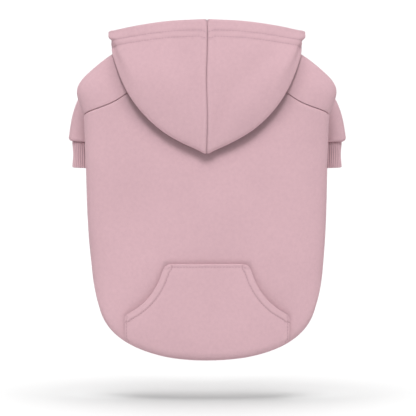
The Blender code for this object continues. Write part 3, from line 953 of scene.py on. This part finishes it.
class HOODIE_OT_hood(bpy.types.Operator):
    """Make the two halves of the hood, with the rows of stitches along its rim"""

    bl_idname = "hoodie.hood"
    bl_label = "Hood"

    def execute(self, context):
        sizes = context.scene.hoodie_cloth
        stitching = context.scene.hoodie_stitching
        for word, side in (("left", -1), ("right", 1)):
            node = f"hood_{word}"
            hood = Cloth(smooth_copy(node, f"hood_cloth_{word}", Vector((0, -1, 0)), 3, relaxing=40))
            rim, along = hood.from_edge(hood_rim)
            ticks = np.sin(along / stitching.pitch * 2 * math.pi)
            hood.slow_waves(sizes, 3)
            hood.dents(HOOD_DENTS)
            seam, seam_along = hood.from_edge(hood_middle)
            hood.seam(sizes, seam, seam_along, depth=1.6, pucker=0.4, reach=0.6)
            # Painted shade in the groove of the middle seam
            hood.paint_shade(bump_at(seam, 0.0, 0.8 * MM) * MIDDLE_SHADE)
            middle = bump_at(hood.points[:, 0], 0.0, 1.8 * MM)
            closing = HOOD_CLOSING + HOOD_TOP_CLOSING * bump_at(rim, 0.0, 4 * MM)
            hood.points[:, 0] -= side * closing * middle
            hood.points[:, 0] += side * corner_shift(hood.points)
            neck, _ = hood.from_edge(hood_neck)
            x, y, z = hood.points.T
            throat = smooth_step((y - 12 * MM) / (14 * MM)) * smooth_step(1 - z / (8 * MM))
            beside = bump_at(np.abs(x), BELLY_CORNER, 14 * MM) * CORNER_CLOSING
            closing = NECK_CLOSING + throat * (THROAT_CLOSING + beside)
            hood.points[:, 2] -= bump_at(neck, 0.0, 4 * MM) * closing
            wander = np.sin(hood.points[:, 2] / SEAM_WANDER_SIZE) * SEAM_WANDER
            hood.points[:, 0] += wander * bump_at(hood.points[:, 0], 0.0, 12 * MM)
            hood.row(rim, stitching.first_row, stitching)
            hood.row(rim, stitching.second_row, stitching, 0.8)
            between = (stitching.first_row + stitching.second_row) / 2
            hood.lift(bump_at(rim, between, 2.4 * MM) * 0.25 * MM)
            hood.lift(bump_at(rim, stitching.second_row, 2.0 * MM) * ticks * 0.10 * MM)
            piece = hood.finish(*cloth_materials())
            runs = level_runs(hood, rim, stitching.first_row, lambda p: np.abs(p[:, 0]) > MM)
            runs += level_runs(hood, rim, stitching.second_row, lambda p: np.abs(p[:, 0]) > MM)
            stitches = stitch_mesh(f"rim_stitches_{word}", runs, stitching)
            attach(stitches, "root")
            declare(piece, [node])
        return {"FINISHED"}


# Pocket


def pocket_part(which):
    """Picks the pocket's top, its two curved hand openings or its two sides."""
    low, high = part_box("pocket")
    top = high.z
    side = high.x

    def keep(edge):
        x, z = np.abs(edge[:, 0]), edge[:, 2]
        if which == "top":
            return (z > top - 4 * MM) & (x < 42 * MM)
        if which == "side":
            return (x > side - 2.6 * MM) & (z < top - 55 * MM) & (z > top - 93 * MM)
        return (x > 42 * MM) & (z > top - 54.5 * MM)

    return keep


class HOODIE_OT_pocket(bpy.types.Operator):
    """Make the pouch pocket, with its rows of stitches"""

    bl_idname = "hoodie.pocket"
    bl_label = "Pocket"

    def execute(self, context):
        sizes = context.scene.hoodie_cloth
        stitching = context.scene.hoodie_stitching
        pocket = Cloth(smooth_copy("pocket", "pocket_cloth", Vector((0, -1, 0)), 4))
        top, _ = pocket.from_edge(pocket_part("top"))
        side, _ = pocket.from_edge(pocket_part("side"))
        opening, _ = pocket.from_edge(pocket_part("opening"))
        pocket.slow_waves(sizes, 3)
        pocket.row(top, stitching.top_row, stitching, 0.8)
        pocket.row(side, stitching.side_row, stitching, 0.8)
        # Painted shade along the pocket's sewn sides
        pocket.paint_shade(bump_at(side, 0.0, 0.7 * MM) * POCKET_SHADE)
        pocket.lift((1 - smooth_step((opening - 5.2 * MM) / (1.6 * MM))) * 0.45 * MM)
        pocket.row(opening, stitching.opening_row, stitching, 0.9)
        piece = pocket.finish(*cloth_materials())
        band = stitching.opening_row
        runs = level_runs(pocket, top, stitching.top_row, lambda p: np.abs(p[:, 0]) < 40 * MM)
        runs += level_runs(pocket, opening, band, lambda p: np.abs(p[:, 0]) < 80.5 * MM)
        runs += level_runs(pocket, side, stitching.side_row, lambda p: p[:, 2] < -0.266)
        stitches = stitch_mesh("pocket_stitches", runs, stitching)
        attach(stitches, "root")
        declare(piece, ["pocket"])
        return {"FINISHED"}


# Studio

FLOOR_WIDTH = 90.0
SURROUND_RADIUS = 40.0
# name, where it comes from, how wide it looks in degrees, and whether it lights the floor
LIGHTS = (
    ("key", (-0.02, -0.66, 0.75), 18.0, False),
    ("sides", (-1.0, -0.25, 0.10), 60.0, False),
    ("sides", (1.0, -0.25, 0.10), 60.0, False),
    ("low", (0.0, -0.3, -1.0), 60.0, False),
    ("rear", (0.0, 1.0, 0.35), 60.0, False),
    ("overhead", (0.0, 0.02, 1.0), 46.0, True),
)


def floor_material():
    material, shader, place = new_material("studio floor")
    rgb = tuple(bpy.context.scene.hoodie_colours.floor)
    specks = noise(place, 3.0, 2.0)
    colour_link = specks.mix(shade(rgb, 0.99), shade(rgb, 1.01))
    place.tree.links.new(colour_link.socket, shader.inputs["Base Color"])
    place.tree.links.new((0.85 + specks * 0.1).socket, shader.inputs["Roughness"])
    shader.inputs["Specular IOR Level"].default_value = 0.0
    shader.inputs["Emission Color"].default_value = (1.0, 1.0, 1.0, 1.0)
    shader.inputs["Emission Strength"].default_value = bpy.context.scene.hoodie_studio.floor_glow
    return material


def surround_material():
    material, shader, _ = new_material("studio surround")
    shader.inputs["Base Color"].default_value = (0.0, 0.0, 0.0, 1.0)
    shader.inputs["Specular IOR Level"].default_value = 0.0
    shader.inputs["Emission Color"].default_value = (1.0, 1.0, 1.0, 1.0)
    shader.inputs["Emission Strength"].default_value = 0.99
    return material


def unlit_by(piece):
    """The stage is seen, but throws no light back on the hoodie."""
    piece.visible_diffuse = False
    piece.visible_glossy = False
    piece.visible_shadow = False


def soft_light(name, come_from, strength, softness, floor, on_floor):
    """A wide distant light that lights only the floor, or all but the floor."""
    lamp = bpy.data.lights.new(f"{name} light", "SUN")
    lamp.energy = strength
    lamp.angle = math.radians(softness)
    light = linked(f"{name}_light", lamp)
    light.rotation_euler = Vector(come_from).to_track_quat("Z", "Y").to_euler()
    group = bpy.data.collections.new(f"{name} receivers")
    group.objects.link(floor)
    group.collection_objects[0].light_linking.link_state = "INCLUDE" if on_floor else "EXCLUDE"
    light.light_linking.receiver_collection = group


class HOODIE_OT_studio(bpy.types.Operator):
    """Make the floor, the soft lights, the white surround and the camera"""

    bl_idname = "hoodie.studio"
    bl_label = "Studio"

    def execute(self, context):
        scene = context.scene
        studio = scene.hoodie_studio
        bpy.ops.object.select_all(action="DESELECT")
        bpy.ops.mesh.primitive_plane_add(size=FLOOR_WIDTH)
        floor = context.active_object
        floor.name = "studio_floor"
        floor.location.z = studio.floor_level
        bpy.ops.object.transform_apply(location=True, rotation=False, scale=False)
        floor.data.materials.append(floor_material())
        bpy.ops.object.select_all(action="DESELECT")
        bpy.ops.mesh.primitive_uv_sphere_add(segments=64, ring_count=32, radius=SURROUND_RADIUS)
        surround = context.active_object
        surround.name = "studio_surround"
        surround.data.materials.append(surround_material())
        for piece in (floor, surround):
            unlit_by(piece)
        world = bpy.data.worlds.new("soft light all round")
        scene.world = world
        world.use_nodes = True
        around = world.node_tree.nodes["Background"]
        around.inputs["Color"].default_value = (1.0, 1.0, 1.0, 1.0)
        around.inputs["Strength"].default_value = studio.surround
        for name, come_from, softness, on_floor in LIGHTS:
            soft_light(name, come_from, getattr(studio, name), softness, floor, on_floor)
        lens = bpy.data.cameras.new("camera")
        camera = linked("camera", lens)
        camera.location = Vector((AIM.x, -studio.distance, studio.camera_height))
        gaze = camera.location - AIM
        camera.rotation_euler = gaze.to_track_quat("Z", "Y").to_euler()
        lens.sensor_width = SENSOR
        lens.lens = SENSOR * gaze.length / (PICTURE_WIDTH * studio.pixel)
        lens.clip_end = 3 * SURROUND_RADIUS
        scene.camera = camera
        scene.view_settings.view_transform = "Standard"
        scene.view_settings.look = "None"
        return {"FINISHED"}


STEPS = (
    HOODIE_OT_body_panels,
    HOODIE_OT_sleeves,
    HOODIE_OT_cuffs,
    HOODIE_OT_hood,
    HOODIE_OT_pocket,
    HOODIE_OT_studio,
)


class HOODIE_PT_panel(bpy.types.Panel):
    """The steps, sizes and colours of the hoodie"""

    bl_idname = "HOODIE_PT_panel"
    bl_label = "Dog hoodie"
    bl_space_type = "VIEW_3D"
    bl_region_type = "UI"
    bl_category = "Dog hoodie"

    def draw(self, context):
        layout = self.layout
        for step in STEPS:
            layout.operator(step.bl_idname)
        for name in GROUPS:
            group = getattr(context.scene, name)
            box = layout.box()
            for field in group.__annotations__:
                box.prop(group, field)


GROUPS = {
    "hoodie_cloth": HoodieCloth,
    "hoodie_stitching": HoodieStitching,
    "hoodie_ribbing": HoodieRibbing,
    "hoodie_colours": HoodieColours,
    "hoodie_studio": HoodieStudio,
}


def register():
    for kind in (*GROUPS.values(), *STEPS, HOODIE_PT_panel):
        bpy.utils.register_class(kind)
    for name, kind in GROUPS.items():
        setattr(bpy.types.Scene, name, PointerProperty(type=kind))


def unregister():
    for name in GROUPS:
        delattr(bpy.types.Scene, name)
    for kind in reversed((*GROUPS.values(), *STEPS, HOODIE_PT_panel)):
        bpy.utils.unregister_class(kind)


def main():
    register()
    bpy.ops.hoodie.body_panels()
    bpy.ops.hoodie.sleeves()
    bpy.ops.hoodie.cuffs()
    bpy.ops.hoodie.hood()
    bpy.ops.hoodie.pocket()
    bpy.ops.hoodie.studio()


if __name__ == "__main__":
    main()
